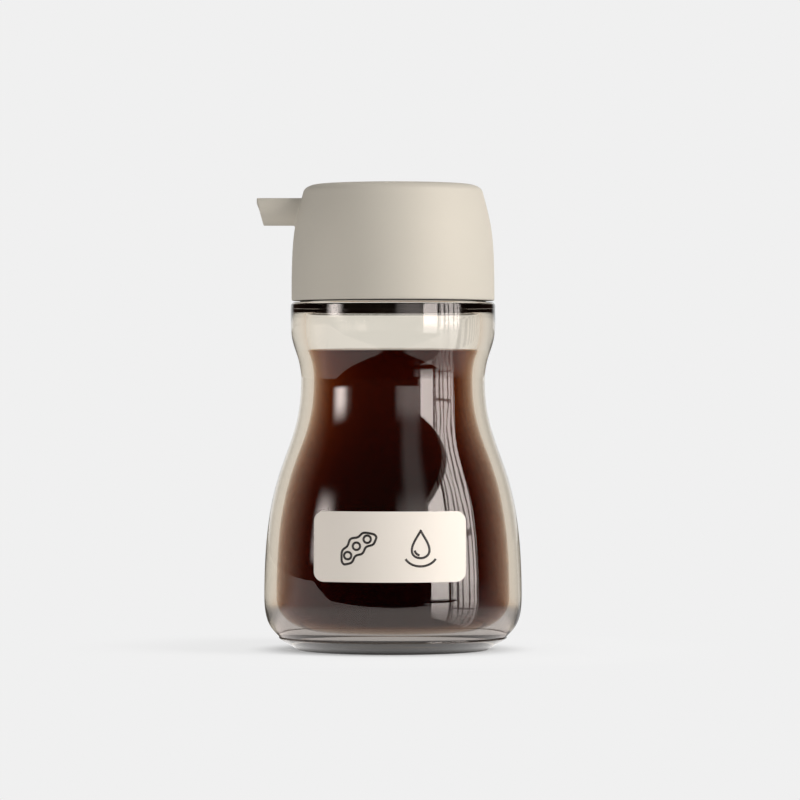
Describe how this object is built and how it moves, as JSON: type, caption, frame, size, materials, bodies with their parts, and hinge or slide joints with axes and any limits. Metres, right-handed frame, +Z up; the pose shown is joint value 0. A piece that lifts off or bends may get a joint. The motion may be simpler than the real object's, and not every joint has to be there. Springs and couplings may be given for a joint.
{
  "type": "soy sauce cruet",
  "caption": "Small waisted glass cruet filled with dark soy sauce, closed by a domed plastic cap that pours through a short side spout.",
  "frame": {"origin": "on the bottle's axis, at the flat face it stands on", "axes": "+Z up along the bottle's axis; the spout points along -X; the label faces -Y"},
  "size_m": [0.0593, 0.0577, 0.1042],
  "materials": {
    "clear_glass": "clear pressed glass, fire polished",
    "sauce": "near-black red-brown liquid, amber where it is thin",
    "cap_plastic": "warm grey-beige moulded plastic, fine matte grain",
    "label_paper": "smooth cream sticker"
  },
  "bodies": {
    "root": {"bottle": "clear_glass", "soy_sauce": "sauce", "cap": "cap_plastic", "label": "label_paper"}
  },
  "joints": []
}
